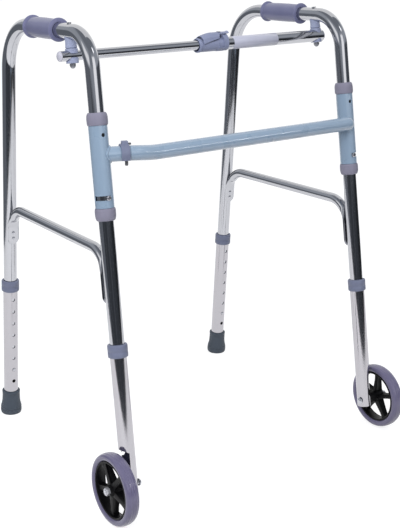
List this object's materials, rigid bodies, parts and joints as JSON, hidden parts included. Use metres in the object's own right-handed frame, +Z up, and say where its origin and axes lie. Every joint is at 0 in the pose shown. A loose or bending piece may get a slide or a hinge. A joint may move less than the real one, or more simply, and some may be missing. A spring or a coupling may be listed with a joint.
{
  "type": "two-wheeled walking frame",
  "caption": "Folding aluminium walking frame with padded side handles, front wheels, rubber rear feet, a low crossbar and a telescoping upper bar with a lock.",
  "frame": {"origin": "middle of the footprint on the floor", "axes": "+Z up; -Y is the walking direction; +X is the user's left, seen from behind the bars"},
  "size_m": [0.6774, 0.6094, 0.8212],
  "materials": {
    "polished_tube": "polished, anodised",
    "satin_tube": "satin, anodised",
    "zinc_steel": "zinc plated",
    "blue_enamel": "gloss",
    "mauve_plastic": "satin",
    "lilac_plastic": "satin",
    "pale_lilac_plastic": "satin",
    "plum_vinyl": "soft vinyl",
    "lilac_tyre": "glossy",
    "black_plastic": "gloss",
    "slate_rubber": "matte"
  },
  "bodies": {
    "crossbar_assembly": {"crossbar": "blue_enamel", "right_hinge_sleeve": "blue_enamel", "right_upper_bush": "mauve_plastic", "right_lower_bush": "mauve_plastic", "left_upper_bush": "mauve_plastic", "left_lower_bush": "mauve_plastic"},
    "crossbar_clip": {"crossbar_clip": "lilac_plastic", "crossbar_clip_pin": "zinc_steel"},
    "inner_bar": {"upper_bar_inner_tube": "polished_tube", "right_bar_plug": "zinc_steel", "right_upper_saddle": "pale_lilac_plastic", "right_lower_saddle": "pale_lilac_plastic"},
    "outer_bar": {"upper_bar_outer_tube": "polished_tube", "left_bar_plug": "zinc_steel", "left_upper_saddle": "pale_lilac_plastic", "left_lower_saddle": "pale_lilac_plastic", "lock_housing": "lilac_plastic", "lever_pivot_pin": "zinc_steel", "lock_spring": "zinc_steel"},
    "lock_lever": {"lock_lever": "lilac_plastic"},
    "lock_pin": {"lock_pin": "zinc_steel"},
    "right_frame": {"right_side_frame": "polished_tube", "right_side_brace": "polished_tube", "right_grip": "plum_vinyl", "right_stop_screw": "zinc_steel", "right_bracket_post": "pale_lilac_plastic", "right_bracket_bolt": "zinc_steel", "right_acorn_nut": "zinc_steel"},
    "right_front_leg": {"right_front_extension": "satin_tube", "right_front_collar": "lilac_plastic", "right_fork_plug": "lilac_plastic", "right_axle_bolt": "zinc_steel", "right_axle_nut": "zinc_steel"},
    "right_rear_leg": {"right_rear_extension": "satin_tube", "right_rear_collar": "lilac_plastic", "right_foot": "slate_rubber"},
    "right_front_snap": {"right_front_button": "zinc_steel"},
    "right_rear_snap": {"right_rear_button": "zinc_steel"},
    "right_wheel": {"right_tyre": "lilac_tyre", "right_wheel_core": "black_plastic"},
    "left_frame": {"left_side_frame": "polished_tube", "left_side_brace": "polished_tube", "left_grip": "plum_vinyl", "left_stop_screw": "zinc_steel", "left_bracket_post": "pale_lilac_plastic", "left_bracket_bolt": "zinc_steel", "left_acorn_nut": "zinc_steel"},
    "left_front_leg": {"left_front_extension": "satin_tube", "left_front_collar": "lilac_plastic", "left_fork_plug": "lilac_plastic", "left_axle_bolt": "zinc_steel", "left_axle_nut": "zinc_steel"},
    "left_rear_leg": {"left_rear_extension": "satin_tube", "left_rear_collar": "lilac_plastic", "left_foot": "slate_rubber"},
    "left_front_snap": {"left_front_button": "zinc_steel"},
    "left_rear_snap": {"left_rear_button": "zinc_steel"},
    "left_wheel": {"left_tyre": "lilac_tyre", "left_wheel_core": "black_plastic"}
  },
  "joints": [
    {"name": "right_frame_fold", "type": "hinge", "parent": "crossbar_assembly", "child": "right_frame", "pos_m": [-0.2824, -0.14229, 0.6], "axis": [-0.0092, -0.1745, -0.9846], "range_deg": [0, 74]},
    {"name": "left_frame_fold", "type": "hinge", "parent": "crossbar_assembly", "child": "left_frame", "pos_m": [0.2824, -0.10709, 0.6], "axis": [-0.0092, 0.1745, 0.9846], "range_deg": [0, 60]},
    {"name": "right_bar_pivot", "type": "hinge", "parent": "right_frame", "child": "inner_bar", "pos_m": [-0.27887, -0.04436, 0.76309], "axis": [0.0092, 0.1745, 0.9846], "range_deg": [0, 78]},
    {"name": "left_bar_pivot", "type": "hinge", "parent": "left_frame", "child": "outer_bar", "pos_m": [0.27887, -0.00933, 0.76211], "axis": [0.0092, -0.1745, -0.9846], "range_deg": [0, 57]},
    {"name": "lock_lever_tilt", "type": "hinge", "parent": "outer_bar", "child": "lock_lever", "pos_m": [-0.00562, -0.02635, 0.77541], "axis": [0.0597, -0.9982, 0], "range_deg": [0, 4.3]},
    {"name": "lock_pin_lift", "type": "slide", "parent": "outer_bar", "child": "lock_pin", "axis": [0, 0, 1], "range_m": [0, 0.00305], "stiffness_N_per_m": 600, "springref_m": -0.002, "deforming": ["lock_spring"]},
    {"name": "crossbar_clip_lift", "type": "slide", "parent": "crossbar_assembly", "child": "crossbar_clip", "axis": [0, 0, 1], "range_m": [0, 0.035]},
    {"name": "right_front_leg_extend", "type": "slide", "parent": "right_frame", "child": "right_front_leg", "axis": [-0.0092, -0.1745, -0.9846], "range_m": [-0.0254, 0.127]},
    {"name": "right_front_snap_press", "type": "slide", "parent": "right_frame", "child": "right_front_snap", "axis": [0.0016, -0.9847, 0.1745], "range_m": [0, 0.0032], "stiffness_N_per_m": 1500, "springref_m": -0.001},
    {"name": "right_rear_leg_extend", "type": "slide", "parent": "right_frame", "child": "right_rear_leg", "axis": [-0.0025, 0.0554, -0.9985], "range_m": [-0.0254, 0.127]},
    {"name": "right_rear_snap_press", "type": "slide", "parent": "right_frame", "child": "right_rear_snap", "axis": [0.0294, 0.998, 0.0553], "range_m": [0, 0.0032], "stiffness_N_per_m": 1500, "springref_m": -0.001},
    {"name": "right_wheel_spin", "type": "hinge", "parent": "right_front_leg", "child": "right_wheel", "pos_m": [-0.31889, -0.24142, 0.06379], "axis": [-1, 0, 0.0093], "continuous": true},
    {"name": "left_front_leg_extend", "type": "slide", "parent": "left_frame", "child": "left_front_leg", "axis": [0.0092, -0.1745, -0.9846], "range_m": [-0.0254, 0.127]},
    {"name": "left_front_snap_press", "type": "slide", "parent": "left_frame", "child": "left_front_snap", "axis": [-0.0016, -0.9847, 0.1745], "range_m": [0, 0.0032], "stiffness_N_per_m": 1500, "springref_m": -0.001},
    {"name": "left_rear_leg_extend", "type": "slide", "parent": "left_frame", "child": "left_rear_leg", "axis": [0.0025, 0.0554, -0.9985], "range_m": [-0.0254, 0.127]},
    {"name": "left_rear_snap_press", "type": "slide", "parent": "left_frame", "child": "left_rear_snap", "axis": [-0.0294, 0.998, 0.0553], "range_m": [0, 0.0032], "stiffness_N_per_m": 1500, "springref_m": -0.001},
    {"name": "left_wheel_spin", "type": "hinge", "parent": "left_front_leg", "child": "left_wheel", "pos_m": [0.31889, -0.20622, 0.06379], "axis": [1, 0, 0.0093], "continuous": true}
  ],
  "couplings": [
    {"joint": "left_frame_fold", "follows": "right_frame_fold", "ratio": 0.8},
    {"joint": "right_bar_pivot", "follows": "right_frame_fold", "ratio": 1.0412},
    {"joint": "left_bar_pivot", "follows": "right_frame_fold", "ratio": 0.7588},
    {"joint": "lock_lever_tilt", "follows": "lock_pin_lift", "rad_per_m": 24.57}
  ]
}
